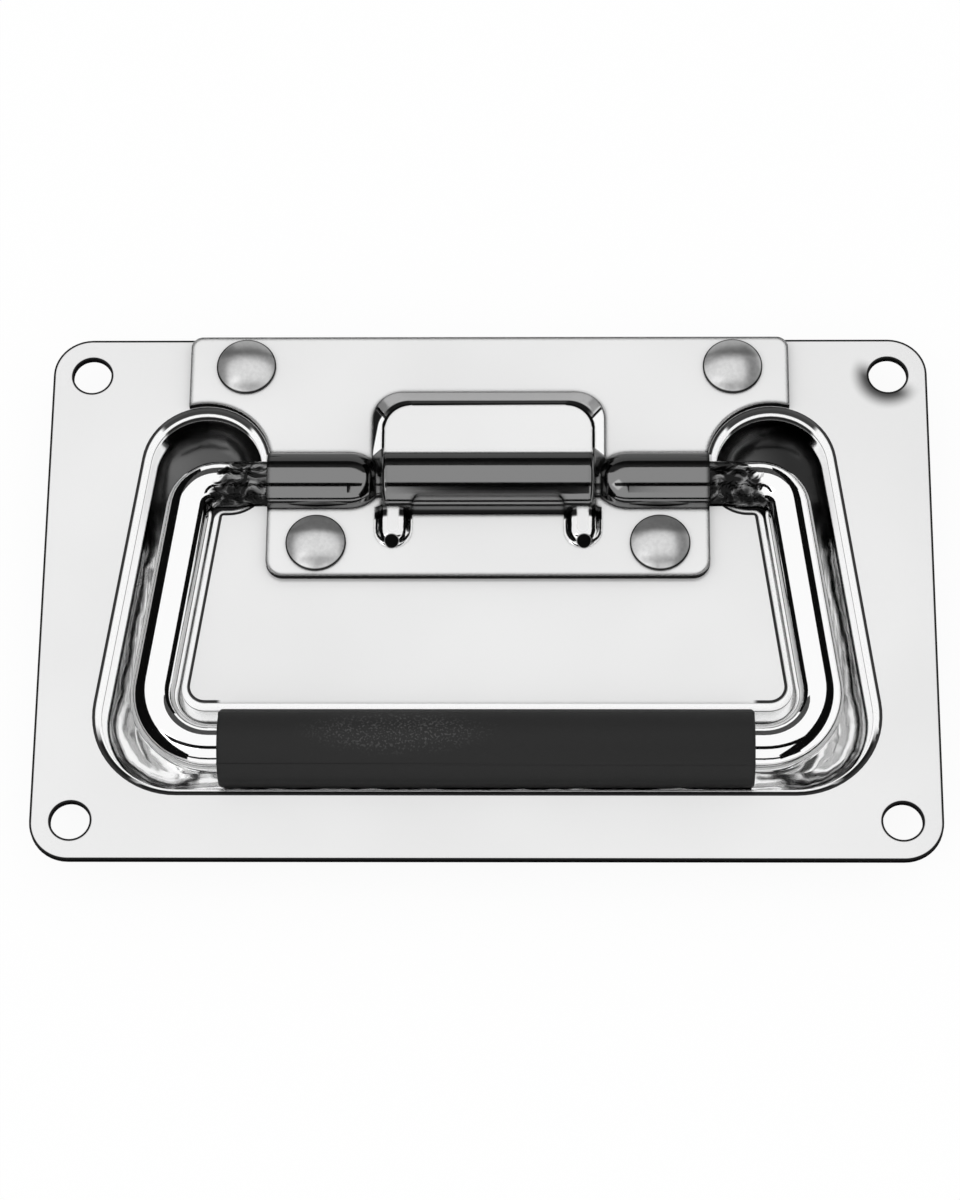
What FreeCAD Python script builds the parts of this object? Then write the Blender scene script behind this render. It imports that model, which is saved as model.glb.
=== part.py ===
import FreeCAD, Part
import math
import os

from FreeCAD import Placement, Rotation, Vector

# Flush hatch handle: a pressed plate with a U-shaped groove, a bent rod handle
# that lies in the groove under a riveted hinge cover, and two return springs.
# Millimetres. +X runs along the plate, +Y towards the hinge, +Z out of the panel.
# The origin is at the middle of the screw pattern, on the back of the plate.

# Base plate
PLATE_WIDTH = 150.0
PLATE_HEIGHT = 95.0
PLATE_CORNER = 6.6
PLATE_SHEET = 1.2
OUTLINE_MARGIN = 5.0
SCREW_HOLE = 6.5
SCREW_EDGE_X = 6.7
SCREW_EDGE_Y = 6.8

# Handle rod and its rubber grip
ROD = 8.0
GRIP = 13.0
GRIP_LENGTH = 88.4
GRIP_EDGE = 0.6
AXLE_Y = 20.2
AXLE_BELOW_TOP = 0.35
REACH = 48.05
SHOULDER_HALF = 50.1
FOOT_HALF = 56.8
SHOULDER_BEND = 5.0
FOOT_BEND = 9.5

# Turned ends of the rod: a journal for the spring, then a bent stop arm
JOURNAL = 4.0
STUB_END_HALF = 25.3
STUB_CHAMFER = 0.5
ARM_HALF = 4.8
ARM_BEND = 3.0
ARM_REACH = 7.6
ARM_CHAMFER = 0.4

# Groove round the handle
FLOOR_GAP = 0.3
LEG_SIDE_GAP = 0.3
LEG_OUTER_GAP = 4.1
BAR_SIDE_GAP = 0.45
GROOVE_FLOOR_ROUND = 5.0
LIP_ROUND = 1.5
OUTER_CORNER = 13.0
ISLAND_FOOT_ROUND = 4.0
ISLAND_TOP_SHARE = 0.234573
POCKET_ROUND = 9.5
POCKET_ABOVE_AXLE = 3.5
POCKET_WALL_GAP = 0.4
POCKET_CORNER_SHARE = 0.70372

# Hinge cover
COVER_SHEET = 1.2
COVER_HALF_TOP = 51.3
COVER_HALF_BOTTOM = 37.4
COVER_FOOT_Y = 2.6
COVER_TOP_CORNER = 2.0
COVER_FOOT_CORNER = 3.0
NOTCH_GAP = 0.1
BARREL_GAP = 0.25
NOSE_START_HALF = 23.8
NECK_GAP = 0.3
NECK_OUTER_HALF = 19.0
MIDDLE_BARREL = 6.1
MIDDLE_BARREL_HALF = 18.0
MIDDLE_BARREL_ROUND = 0.9
STEP_HALF = 12.9
STEP_PROUD = 0.35
STEP_HEIGHT = 3.2
STEP_CORNER = 1.4

# Hood over the stop arms
HOOD_HALF = 19.8
HOOD_FAR_Y = 37.0
HOOD_ROOF = 3.3
HOOD_END_SLOPE = 61.0
HOOD_FAR_SLOPE = 40.0
HOOD_CORNER = 5.0
HOOD_ROOF_ROUND = 0.8

# Pockets for the springs' fixed legs
POCKET_HALF = 16.0
LEG_POCKET_END_Y = 9.4
LEG_POCKET_HEIGHT = 1.4
LEG_POCKET_RIDGE = 3.4
LEG_POCKET_FOOT = 6.4

# Window under the hood, and the tongue that stops the arms
WINDOW_HALF = 17.2
WINDOW_NEAR_GAP = 0.25
WINDOW_FAR_GAP = 1.4
WINDOW_CORNER = 1.0
STOP_GAP = 0.2
TONGUE_HALF = 7.0
TONGUE_DEPTH = 6.5
TONGUE_BEND_SHARE = 0.9

# Torsion springs
WIRE = 1.2
SPRING_KNUCKLE = 1.23
COIL_INSIDE = 4.5
COIL_TURNS = 5
COIL_PITCH = 1.3
SPRING_LEG_GAP = 0.05
LEG_END_GAP = 0.3
HOOK_GAP = 0.15
HOOK_BEFORE_TIP = 2.0
HOOK_SHORT = 0.4

# Rivets
RIVET_HEAD = 10.2
RIVET_DOME = 2.0
RIVET_RIM = 0.25
RIVET_SHANK = 3.9
RIVET_TAIL = 7.0
RIVET_TAIL_DEPTH = 0.9
UPPER_RIVET_HALF = 41.7
UPPER_RIVET_BELOW_EDGE = 5.8
LOWER_RIVET_HALF = 29.0
LOWER_RIVET_ABOVE_EDGE = 6.0

# Points nearer than this are one point
TOUCH = 0.0001

# Levels and places that follow from the sizes above
TOP = PLATE_SHEET
COVER_TOP = TOP + COVER_SHEET
AXLE_Z = TOP - AXLE_BELOW_TOP
BAR_Y = AXLE_Y - REACH
FLOOR_Z = AXLE_Z - GRIP / 2 - FLOOR_GAP
LEG_SLOPE = math.atan((FOOT_HALF - SHOULDER_HALF) / REACH)
BORE = ROD / 2 + BARREL_GAP
BARREL = BORE + COVER_SHEET
NECK_BORE = JOURNAL / 2 + NECK_GAP
NECK = NECK_BORE + COVER_SHEET
POCKET_WALL_Y = AXLE_Y - ROD / 2 - POCKET_WALL_GAP
POCKET_MIDDLE_Y = AXLE_Y + POCKET_ABOVE_AXLE
# Room along the pocket's near wall, from its inner wall to the island's corner
POCKET_ROOM = (
    POCKET_ROUND
    + (POCKET_MIDDLE_Y - POCKET_WALL_Y) * math.tan(LEG_SLOPE)
    - (ROD + LEG_SIDE_GAP + LEG_OUTER_GAP - POCKET_ROUND) / math.cos(LEG_SLOPE)
)
POCKET_CORNER = POCKET_CORNER_SHARE * POCKET_ROOM
ISLAND_TOP_ROUND = ISLAND_TOP_SHARE * POCKET_ROOM
COIL_MEAN = (COIL_INSIDE + WIRE) / 2
WINDOW_NEAR_Y = AXLE_Y - BORE - WINDOW_NEAR_GAP
WINDOW_FAR_Y = AXLE_Y + ARM_REACH + WINDOW_FAR_GAP
TONGUE_Y = AXLE_Y - JOURNAL / 2 - STOP_GAP
SCREW_X = PLATE_WIDTH / 2 - SCREW_EDGE_X
SCREW_Y = PLATE_HEIGHT / 2 - SCREW_EDGE_Y
RIVET_PLACES = [
    (side * UPPER_RIVET_HALF, PLATE_HEIGHT / 2 - UPPER_RIVET_BELOW_EDGE) for side in (-1, 1)
] + [
    (side * LOWER_RIVET_HALF, COVER_FOOT_Y + LOWER_RIVET_ABOVE_EDGE) for side in (-1, 1)
]


def rounded_outline(corners, z):
    """Closed wire through (x, y, radius) corners, each rounded by an arc or left sharp."""
    count = len(corners)
    spans = []
    for i, (x, y, radius) in enumerate(corners):
        here = Vector(x, y, z)
        before = Vector(corners[i - 1][0], corners[i - 1][1], z)
        after = Vector(corners[(i + 1) % count][0], corners[(i + 1) % count][1], z)
        back = (before - here).normalize()
        ahead = (after - here).normalize()
        half = back.getAngle(ahead) / 2
        length = radius / math.tan(half)
        middle = (back + ahead).normalize()
        centre = here + middle * (radius / math.sin(half))
        spans.append((here + back * length, centre - middle * radius, here + ahead * length))
    edges = []
    for i, (start, mid, end) in enumerate(spans):
        if start.distanceToPoint(end) > TOUCH:
            edges.append(Part.Arc(start, mid, end).toShape())
        following = spans[(i + 1) % count][0]
        if end.distanceToPoint(following) > TOUCH:
            edges.append(Part.makeLine(end, following))
    return Part.Wire(Part.__sortEdges__(edges))


def slab(corners, z_low, z_high):
    """Solid slab of a rounded outline between two heights."""
    face = Part.Face(rounded_outline(corners, z_low))
    return face.extrude(Vector(0, 0, z_high - z_low))


def rectangle(half_x, y_low, y_high, radius):
    return [
        (half_x, y_low, radius),
        (half_x, y_high, radius),
        (-half_x, y_high, radius),
        (-half_x, y_low, radius),
    ]


def edges_at(shape, z, keep):
    """Edges that lie wholly at one height and whose middle passes the given test."""
    found = []
    for edge in shape.Edges:
        box = edge.BoundBox
        if abs(box.ZMin - z) < 0.01 and abs(box.ZMax - z) < 0.01:
            if keep(edge.CenterOfMass):
                found.append(edge)
    return found


def along_axle(points, segments):
    """Solid of revolution about the axle from a half profile of (x, radius) points."""
    def place(point):
        return Vector(point[0], AXLE_Y, AXLE_Z + point[1])

    edges = []
    for kind, *names in segments:
        ends = [place(points[name]) for name in names]
        edges.append(Part.Arc(*ends).toShape() if kind == "arc" else Part.makeLine(*ends))
    start = place(points[segments[0][1]])
    last = place(points[segments[-1][-1]])
    edges.append(Part.makeLine(last, Vector(last.x, AXLE_Y, AXLE_Z)))
    edges.append(Part.makeLine(Vector(last.x, AXLE_Y, AXLE_Z), Vector(start.x, AXLE_Y, AXLE_Z)))
    edges.append(Part.makeLine(Vector(start.x, AXLE_Y, AXLE_Z), start))
    face = Part.Face(Part.Wire(edges))
    return face.revolve(Vector(0, AXLE_Y, AXLE_Z), Vector(1, 0, 0), 360)


def both_sides(shape):
    """The shape and its mirror image across the middle of the plate."""
    return [shape, shape.mirror(Vector(0, 0, 0), Vector(1, 0, 0))]


def groove_outline(grow):
    """Corners of the groove's wall, moved outwards by grow, up one leg and down the other."""
    across = 1 / math.cos(LEG_SLOPE)
    slope = math.tan(LEG_SLOPE)
    outer = LEG_OUTER_GAP + ROD / 2 + grow
    inner = ROD / 2 + LEG_SIDE_GAP + grow
    bar_half = GRIP / 2 + BAR_SIDE_GAP + grow

    def outer_x(y):
        return SHOULDER_HALF + (AXLE_Y - y) * slope + outer * across

    def inner_x(y):
        return SHOULDER_HALF + (AXLE_Y - y) * slope - inner * across

    low = BAR_Y - bar_half
    foot = BAR_Y + bar_half
    top = POCKET_MIDDLE_Y + POCKET_ROUND + grow
    wall = POCKET_WALL_Y - grow
    pocket_x = outer_x(POCKET_MIDDLE_Y) - (POCKET_ROUND + grow) * (across + 1)
    half = [
        (outer_x(low), low, OUTER_CORNER + grow),
        (outer_x(top), top, POCKET_ROUND + grow),
        (pocket_x, top, POCKET_ROUND + grow),
        (pocket_x, wall, POCKET_CORNER + grow),
        (inner_x(wall), wall, ISLAND_TOP_ROUND - grow),
        (inner_x(foot), foot, ISLAND_FOOT_ROUND - grow),
    ]
    return half + [(-x, y, radius) for x, y, radius in reversed(half)]


def groove_block(grow, z_high):
    """Solid that fills the groove, with its floor edge rounded all the way along."""
    low = FLOOR_Z - grow
    block = slab(groove_outline(grow), low, z_high)
    return block.makeFillet(GROOVE_FLOOR_ROUND + grow, edges_at(block, low, lambda c: True))


def base_plate():
    edge_x = PLATE_WIDTH / 2
    edge_y = PLATE_HEIGHT / 2
    plate = slab(rectangle(edge_x, -edge_y, edge_y, PLATE_CORNER), 0, TOP)
    plate = plate.fuse(groove_block(PLATE_SHEET, TOP)).removeSplitter()
    plate = plate.cut(groove_block(0, TOP + 1))
    lip = edges_at(plate, TOP, lambda c: abs(c.x) < edge_x - OUTLINE_MARGIN
                   and abs(c.y) < edge_y - OUTLINE_MARGIN)
    plate = plate.makeFillet(LIP_ROUND, lip)

    # Half-round troughs that carry the rod's stubs between the groove and the window
    trough_end = COVER_HALF_BOTTOM + PLATE_SHEET / 2
    length = trough_end - WINDOW_HALF
    for side in (-1, 1):
        start = Vector(WINDOW_HALF if side > 0 else -trough_end, AXLE_Y, AXLE_Z)
        shell = Part.makeCylinder(BORE + PLATE_SHEET, length, start, Vector(1, 0, 0))
        below = Part.makeBox(length, 40, 20, Vector(start.x, AXLE_Y - 20, TOP - 20))
        plate = plate.fuse(shell.common(below))
    bore_half = SHOULDER_HALF - BORE
    bore = Part.makeCylinder(BORE, 2 * bore_half, Vector(-bore_half, AXLE_Y, AXLE_Z), Vector(1, 0, 0))
    plate = plate.cut(bore)

    # Window for the springs and stop arms, with the tongue bent down at its near edge
    window = slab(rectangle(WINDOW_HALF, WINDOW_NEAR_Y, WINDOW_FAR_Y, WINDOW_CORNER), -1, TOP + 1)
    plate = plate.cut(window)
    root_y = WINDOW_NEAR_Y - 1
    tongue_low = -TONGUE_DEPTH
    tongue = Part.makeBox(
        2 * TONGUE_HALF, TONGUE_Y - root_y, TOP - tongue_low, Vector(-TONGUE_HALF, root_y, tongue_low)
    )
    under = Part.makeBox(
        2 * TONGUE_HALF + 2,
        TONGUE_Y - PLATE_SHEET - root_y + 1,
        -tongue_low + 1,
        Vector(-TONGUE_HALF - 1, root_y - 1, tongue_low - 1),
    )
    tongue = tongue.cut(under)
    bend = [
        edge
        for edge in tongue.Edges
        if abs(edge.CenterOfMass.y - TONGUE_Y) < 0.01 and abs(edge.CenterOfMass.z - TOP) < 0.01
    ]
    tongue = tongue.makeFillet(PLATE_SHEET * TONGUE_BEND_SHARE, bend)
    plate = plate.fuse(tongue)

    for x in (-SCREW_X, SCREW_X):
        for y in (-SCREW_Y, SCREW_Y):
            hole = Part.makeCylinder(SCREW_HOLE / 2, TOP + 2, Vector(x, y, -1))
            plate = plate.cut(hole)
    for place in rivets_alone():
        plate = plate.cut(place)
    return plate.removeSplitter()


def barrel_profile(inset, end):
    """Points of the cover's round profile along the axle, from the middle to one end."""
    barrel = BARREL - inset
    middle = MIDDLE_BARREL - inset
    neck = NECK - inset
    middle_half = MIDDLE_BARREL_HALF - inset
    soft = MIDDLE_BARREL_ROUND
    rise = barrel - neck
    run = NOSE_START_HALF - NECK_OUTER_HALF
    nose = (run * run + rise * rise) / (2 * rise)
    turn = math.asin(run / nose) / 2
    return {
        "middle": (0, middle),
        "round_start": (middle_half - soft, middle),
        "round_mid": (middle_half - soft * (1 - math.sqrt(0.5)), middle - soft * (1 - math.sqrt(0.5))),
        "round_end": (middle_half, middle - soft),
        "valley": (middle_half, neck),
        "neck_end": (NECK_OUTER_HALF, neck),
        "nose_mid": (NOSE_START_HALF - nose * math.sin(turn), barrel - nose * (1 - math.cos(turn))),
        "nose_end": (NOSE_START_HALF, barrel),
        "end": (end, barrel),
    }


def barrel_solid(inset, end):
    half = along_axle(
        barrel_profile(inset, end),
        [
            ("line", "middle", "round_start"),
            ("arc", "round_start", "round_mid", "round_end"),
            ("line", "round_end", "valley"),
            ("line", "valley", "neck_end"),
            ("arc", "neck_end", "nose_mid", "nose_end"),
            ("line", "nose_end", "end"),
        ],
    )
    right, left = both_sides(half)
    return right.fuse(left).removeSplitter()


def hood_section(inset, z):
    """Rounded outline of the hood at one height; its sides lean in with height."""
    rise = z - COVER_TOP
    end = math.radians(HOOD_END_SLOPE)
    far = math.radians(HOOD_FAR_SLOPE)
    half_x = HOOD_HALF - rise / math.tan(end) - inset / math.sin(end)
    far_y = HOOD_FAR_Y - rise / math.tan(far) - inset / math.sin(far)
    corners = [
        (half_x, AXLE_Y, 0),
        (half_x, far_y, HOOD_CORNER - inset),
        (-half_x, far_y, HOOD_CORNER - inset),
        (-half_x, AXLE_Y, 0),
    ]
    return rounded_outline(corners, z)


def hood_block(inset, z_low):
    roof = COVER_TOP + HOOD_ROOF - inset
    block = Part.makeLoft([hood_section(inset, z_low), hood_section(inset, roof)], True, True)
    far_edges = edges_at(block, roof, lambda c: c.y > AXLE_Y + 1)
    return block.makeFillet(HOOD_ROOF_ROUND, far_edges)


def teardrop(half_ridge, half_foot, z_low, height, end_y, back_y):
    """Round-ended ridge that lies along Y over one spring leg."""
    shoulder = half_ridge + (half_foot - half_ridge) * 0.35
    outline = [
        Vector(0, 0, z_low),
        Vector(half_foot, 0, z_low),
        Vector(shoulder, 0, z_low + height * 0.55),
        Vector(half_ridge * 0.6, 0, z_low + height * 0.95),
        Vector(0, 0, z_low + height),
    ]
    side = Part.BSplineCurve()
    side.interpolate(outline[1:], InitialTangent=Vector(-1, 0, 0.2), FinalTangent=Vector(-1, 0, 0))
    edges = [
        Part.makeLine(outline[0], outline[1]),
        side.toShape(),
        Part.makeLine(outline[4], outline[0]),
    ]
    half_face = Part.Face(Part.Wire(edges))
    round_end = half_face.revolve(Vector(0, 0, 0), Vector(0, 0, 1), -180)
    right, left = both_sides(half_face.extrude(Vector(0, back_y - end_y - half_foot, 0)))
    ridge = right.fuse(left).fuse(round_end).removeSplitter()
    ridge.translate(Vector(0, end_y + half_foot, 0))
    return ridge


def cover_outline():
    """Corners of the flat cover sheet, before the notches round the groove's ends."""
    edge_y = PLATE_HEIGHT / 2
    notch = POCKET_ROUND + LIP_ROUND + NOTCH_GAP
    slope = math.tan(LEG_SLOPE)
    outer = SHOULDER_HALF + (AXLE_Y - POCKET_MIDDLE_Y) * slope
    outer += (LEG_OUTER_GAP + ROD / 2) / math.cos(LEG_SLOPE)
    centre_x = outer - POCKET_ROUND / math.cos(LEG_SLOPE)
    return edge_y, notch, centre_x


def hinge_cover():
    edge_y, notch, centre_x = cover_outline()
    upper = slab(
        rectangle(COVER_HALF_TOP, POCKET_MIDDLE_Y, edge_y, COVER_TOP_CORNER), TOP, COVER_TOP
    )
    lower = slab(
        rectangle(COVER_HALF_BOTTOM, COVER_FOOT_Y, POCKET_MIDDLE_Y + notch, COVER_FOOT_CORNER),
        TOP,
        COVER_TOP,
    )
    cover = upper.fuse(lower)
    for side in (-1, 1):
        centre = Vector(side * centre_x, POCKET_MIDDLE_Y, TOP - 1)
        cover = cover.cut(Part.makeCylinder(notch, COVER_SHEET + 2, centre))
        trim = Part.makeBox(20, 20, COVER_SHEET + 2, Vector(0, 0, TOP - 1))
        low_x = COVER_HALF_BOTTOM if side > 0 else -COVER_HALF_BOTTOM - 20
        trim.translate(Vector(low_x, POCKET_MIDDLE_Y - 20, 0))
        cover = cover.cut(trim)

    above = Part.makeBox(200, 200, 50, Vector(-100, -100, TOP))
    shell = barrel_solid(0, COVER_HALF_BOTTOM).common(above)
    cover = cover.fuse(shell).fuse(hood_block(0, COVER_TOP - COVER_SHEET / 2))

    # Stiffening step along the foot of the middle barrel, between the two spring pockets
    band = Part.makeCylinder(
        MIDDLE_BARREL + STEP_PROUD, 2 * STEP_HALF, Vector(-STEP_HALF, AXLE_Y, AXLE_Z), Vector(1, 0, 0)
    )
    window = slab(
        rectangle(STEP_HALF, TOP, COVER_TOP + STEP_HEIGHT, STEP_CORNER), 0, 2 * MIDDLE_BARREL
    )
    window.rotate(Vector(0, 0, 0), Vector(1, 0, 0), 90)
    window.translate(Vector(0, AXLE_Y, 0))
    cover = cover.fuse(band.common(window))

    wire_top = TOP + SPRING_LEG_GAP + WIRE
    for side in (-1, 1):
        drop = teardrop(
            LEG_POCKET_RIDGE / 2,
            LEG_POCKET_FOOT / 2,
            COVER_TOP,
            LEG_POCKET_HEIGHT,
            LEG_POCKET_END_Y - (LEG_POCKET_FOOT - WIRE) / 2 + 1,
            AXLE_Y - MIDDLE_BARREL + COVER_SHEET,
        )
        drop.translate(Vector(side * POCKET_HALF, 0, 0))
        cover = cover.fuse(drop)

    cover = cover.cut(barrel_solid(COVER_SHEET, COVER_HALF_BOTTOM + 1))
    cover = cover.cut(hood_block(COVER_SHEET, TOP - 0.5))
    for side in (-1, 1):
        half = WIRE / 2 + 0.3
        room = slab(
            rectangle(half, LEG_POCKET_END_Y - 0.3, AXLE_Y - COIL_MEAN, half - 0.05),
            TOP - 1,
            wire_top + 0.15,
        )
        room.translate(Vector(side * POCKET_HALF, 0, 0))
        cover = cover.cut(room)
    for rivet in rivets_alone():
        cover = cover.cut(rivet)
    return cover.removeSplitter()


def round_bar(points, radii, radius, chamfer):
    """Round bar along straight runs joined by tangent bends, with chamfered ends."""
    edges = []
    reached = points[0]
    for i in range(1, len(points) - 1):
        back = (points[i - 1] - points[i]).normalize()
        ahead = (points[i + 1] - points[i]).normalize()
        half = back.getAngle(ahead) / 2
        length = radii[i] / math.tan(half)
        middle = (back + ahead).normalize()
        centre = points[i] + middle * (radii[i] / math.sin(half))
        begin = points[i] + back * length
        end = points[i] + ahead * length
        if reached.distanceToPoint(begin) > TOUCH:
            edges.append(Part.makeLine(reached, begin))
        edges.append(Part.Arc(begin, centre - middle * radii[i], end).toShape())
        reached = end
    edges.append(Part.makeLine(reached, points[-1]))
    path = Part.Wire(edges)
    direction = (points[1] - points[0]).normalize()
    circle = Part.Wire(Part.Circle(points[0], direction, radius).toShape())
    bar = path.makePipeShell([circle], True, False)
    ends = [
        edge
        for edge in bar.Edges
        for tip in (points[0], points[-1])
        if (edge.CenterOfMass - tip).Length < 0.01
    ]
    return bar.makeChamfer(chamfer, ends)


def bail():
    """The handle: one bent rod, turned down at both ends for the springs and stop arms."""
    foot_x = SHOULDER_HALF + REACH * math.tan(LEG_SLOPE)
    half = [
        Vector(STUB_END_HALF, AXLE_Y, AXLE_Z),
        Vector(SHOULDER_HALF, AXLE_Y, AXLE_Z),
        Vector(foot_x, BAR_Y, AXLE_Z),
    ]
    half_radii = [0, SHOULDER_BEND, FOOT_BEND]
    points = half + [Vector(-point.x, point.y, point.z) for point in reversed(half)]
    rod = round_bar(points, half_radii + half_radii[::-1], ROD / 2, STUB_CHAMFER)
    for side in (-1, 1):
        arm = [
            Vector(side * (STUB_END_HALF + STUB_CHAMFER), AXLE_Y, AXLE_Z),
            Vector(side * ARM_HALF, AXLE_Y, AXLE_Z),
            Vector(side * ARM_HALF, AXLE_Y + ARM_REACH, AXLE_Z),
        ]
        rod = rod.fuse(round_bar(arm, [0, ARM_BEND, 0], JOURNAL / 2, ARM_CHAMFER))
    return rod.removeSplitter()


def grip_sleeve():
    """Rubber sleeve pushed on to the handle's bar."""
    start = Vector(-GRIP_LENGTH / 2, BAR_Y, AXLE_Z)
    along = Vector(1, 0, 0)
    sleeve = Part.makeCylinder(GRIP / 2, GRIP_LENGTH, start, along)
    rims = [edge for edge in sleeve.Edges if edge.Curve.TypeId == "Part::GeomCircle"]
    sleeve = sleeve.makeFillet(GRIP_EDGE, rims)
    return sleeve.cut(Part.makeCylinder(ROD / 2, GRIP_LENGTH, start, along))


def wire_run(points):
    """Straight runs of spring wire with round elbows; the two ends stay flat."""
    radius = WIRE / 2
    run = None
    for start, end in zip(points, points[1:]):
        piece = Part.makeCylinder(radius, start.distanceToPoint(end), start, end - start)
        run = piece if run is None else run.fuse(piece)
    for elbow in points[1:-1]:
        run = run.fuse(Part.makeSphere(radius, elbow))
    return run


def tangent_angle(across, up, after):
    """Angle round the axle at which a straight wire through the point leaves the coil."""
    spread = math.acos(COIL_MEAN / math.hypot(across, up))
    return math.atan2(up, across) + (spread if after else -spread)


def torsion_spring():
    """Right-hand return spring: fixed leg in its pocket, moving leg hooked under the arm."""
    def at(x, across, up):
        return Vector(x, AXLE_Y + across, AXLE_Z + up)

    def on_coil(x, angle):
        return at(x, COIL_MEAN * math.cos(angle), COIL_MEAN * math.sin(angle))

    leg_up = TOP + SPRING_LEG_GAP + WIRE / 2 - AXLE_Z
    elbow = -math.hypot(COIL_MEAN, WIRE)
    begin = tangent_angle(elbow, leg_up, False)
    hook_across = ARM_REACH - HOOK_BEFORE_TIP
    hook_up = -(JOURNAL / 2 + HOOK_GAP + WIRE / 2)
    finish = tangent_angle(hook_across, hook_up, True)
    turns = COIL_TURNS + (begin - finish) / (2 * math.pi)
    inner_x = POCKET_HALF - turns * COIL_PITCH

    helix = Part.makeHelix(COIL_PITCH, turns * COIL_PITCH, COIL_MEAN)
    cosine = math.cos(begin)
    sine = math.sin(begin)
    turned = FreeCAD.Matrix(
        0, 0, -1, POCKET_HALF,
        cosine, sine, 0, AXLE_Y,
        sine, -cosine, 0, AXLE_Z,
        0, 0, 0, 1,
    )
    helix.Placement = Placement(turned)
    path = Part.Wire(helix.Edges)
    tangent = path.Edges[0].tangentAt(path.Edges[0].FirstParameter)
    circle = Part.Wire(Part.Circle(on_coil(POCKET_HALF, begin), tangent, WIRE / 2).toShape())
    coil = path.makePipeShell([circle], True, True)

    across_pocket = LEG_POCKET_END_Y + LEG_END_GAP - AXLE_Y
    fixed = [
        at(POCKET_HALF, across_pocket, leg_up),
        at(POCKET_HALF, elbow, leg_up),
        on_coil(POCKET_HALF, begin),
    ]
    moving = [
        on_coil(inner_x, finish),
        at(inner_x, hook_across, hook_up),
        at(ARM_HALF - JOURNAL / 2 + HOOK_SHORT, hook_across, hook_up),
    ]
    spring = coil
    for joint, leg in ((fixed[-1], fixed), (moving[0], moving)):
        spring = spring.fuse(Part.makeSphere(SPRING_KNUCKLE / 2, joint)).fuse(wire_run(leg))
    return spring.removeSplitter()


def rivets_alone():
    """Four rivets with domed heads on the cover and flush tails in the back of the plate."""
    head = RIVET_HEAD / 2
    shank = RIVET_SHANK / 2
    tail = RIVET_TAIL / 2
    rim = COVER_TOP + RIVET_RIM
    crown = COVER_TOP + RIVET_DOME
    dome = crown - rim
    ball = (head * head + dome * dome) / (2 * dome)
    turn = math.asin(head / ball) / 2
    midway = Vector(ball * math.sin(turn), 0, crown - ball * (1 - math.cos(turn)))
    points = [
        Vector(0, 0, 0),
        Vector(tail, 0, 0),
        Vector(shank, 0, RIVET_TAIL_DEPTH),
        Vector(shank, 0, COVER_TOP),
        Vector(head, 0, COVER_TOP),
        Vector(head, 0, rim),
    ]
    edges = [Part.makeLine(points[i], points[i + 1]) for i in range(len(points) - 1)]
    edges.append(Part.Arc(points[-1], midway, Vector(0, 0, crown)).toShape())
    edges.append(Part.makeLine(Vector(0, 0, crown), points[0]))
    rivet = Part.Face(Part.Wire(edges)).revolve(Vector(0, 0, 0), Vector(0, 0, 1), 360)
    rivets = []
    for x, y in RIVET_PLACES:
        placed = rivet.copy()
        placed.translate(Vector(x, y, 0))
        rivets.append(placed)
    return rivets


def save(name, shape):
    solids = shape.Solids
    print(name, "solids", len(solids), "volume", round(shape.Volume, 1), "valid", shape.isValid())
    shape.exportStep("parts/" + name + ".step")


os.makedirs("parts", exist_ok=True)
save("base_plate", base_plate())
save("hinge_cover", hinge_cover())
save("bail", bail())
save("grip_sleeve", grip_sleeve())
save("rivets", Part.makeCompound(rivets_alone()))
right_spring, left_spring = both_sides(torsion_spring())
save("torsion_spring_right", right_spring)
save("torsion_spring_left", left_spring)
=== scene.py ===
import math

import bpy
import bmesh
from mathutils import Matrix, Vector


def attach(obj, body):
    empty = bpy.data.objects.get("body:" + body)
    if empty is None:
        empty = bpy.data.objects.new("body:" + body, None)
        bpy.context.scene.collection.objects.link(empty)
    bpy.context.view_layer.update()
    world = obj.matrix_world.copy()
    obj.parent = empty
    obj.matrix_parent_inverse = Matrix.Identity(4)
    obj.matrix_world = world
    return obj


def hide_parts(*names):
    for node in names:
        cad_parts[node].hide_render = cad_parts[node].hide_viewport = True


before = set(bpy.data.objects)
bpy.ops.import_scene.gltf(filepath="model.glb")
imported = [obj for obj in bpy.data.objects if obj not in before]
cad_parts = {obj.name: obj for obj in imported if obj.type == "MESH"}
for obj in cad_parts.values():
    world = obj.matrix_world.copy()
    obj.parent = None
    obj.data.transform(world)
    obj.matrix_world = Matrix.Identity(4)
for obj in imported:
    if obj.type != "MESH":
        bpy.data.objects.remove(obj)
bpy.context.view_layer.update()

# Camera: 0.68 m from the middle of the plate, looking down at 67 degrees from the grip's
# side, and leaning a little to the left.
camera_turn = math.radians(2.856)
camera_down = math.radians(66.53)
camera_roll = math.radians(2.632)
camera_distance = 0.68459
lens_length = 122.36
film_width = 36
shift_right = -0.00628
shift_up = -0.00592
nearest_sight = 0.05
plate_top = 0.0012
level = Vector((math.cos(camera_turn), math.sin(camera_turn), 0))
ahead = Vector((-math.sin(camera_turn), math.cos(camera_turn), 0))
forward = ahead * math.cos(camera_down) - Vector((0, 0, math.sin(camera_down)))
upward = ahead * math.sin(camera_down) + Vector((0, 0, math.cos(camera_down)))
camera_right = level * math.cos(camera_roll) - upward * math.sin(camera_roll)
camera_top = level * math.sin(camera_roll) + upward * math.cos(camera_roll)
lens = bpy.data.cameras.new("camera")
lens.lens = lens_length
lens.sensor_width = film_width
lens.shift_x = shift_right
lens.shift_y = shift_up
lens.clip_start = nearest_sight
camera = bpy.data.objects.new("camera", lens)
bpy.context.collection.objects.link(camera)
camera_place = Matrix((camera_right, camera_top, -forward)).transposed().to_4x4()
camera_place.translation = Vector((0, 0, plate_top)) - forward * camera_distance
camera.matrix_world = camera_place
bpy.context.scene.camera = camera
bpy.context.scene.view_settings.view_transform = "Standard"


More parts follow.
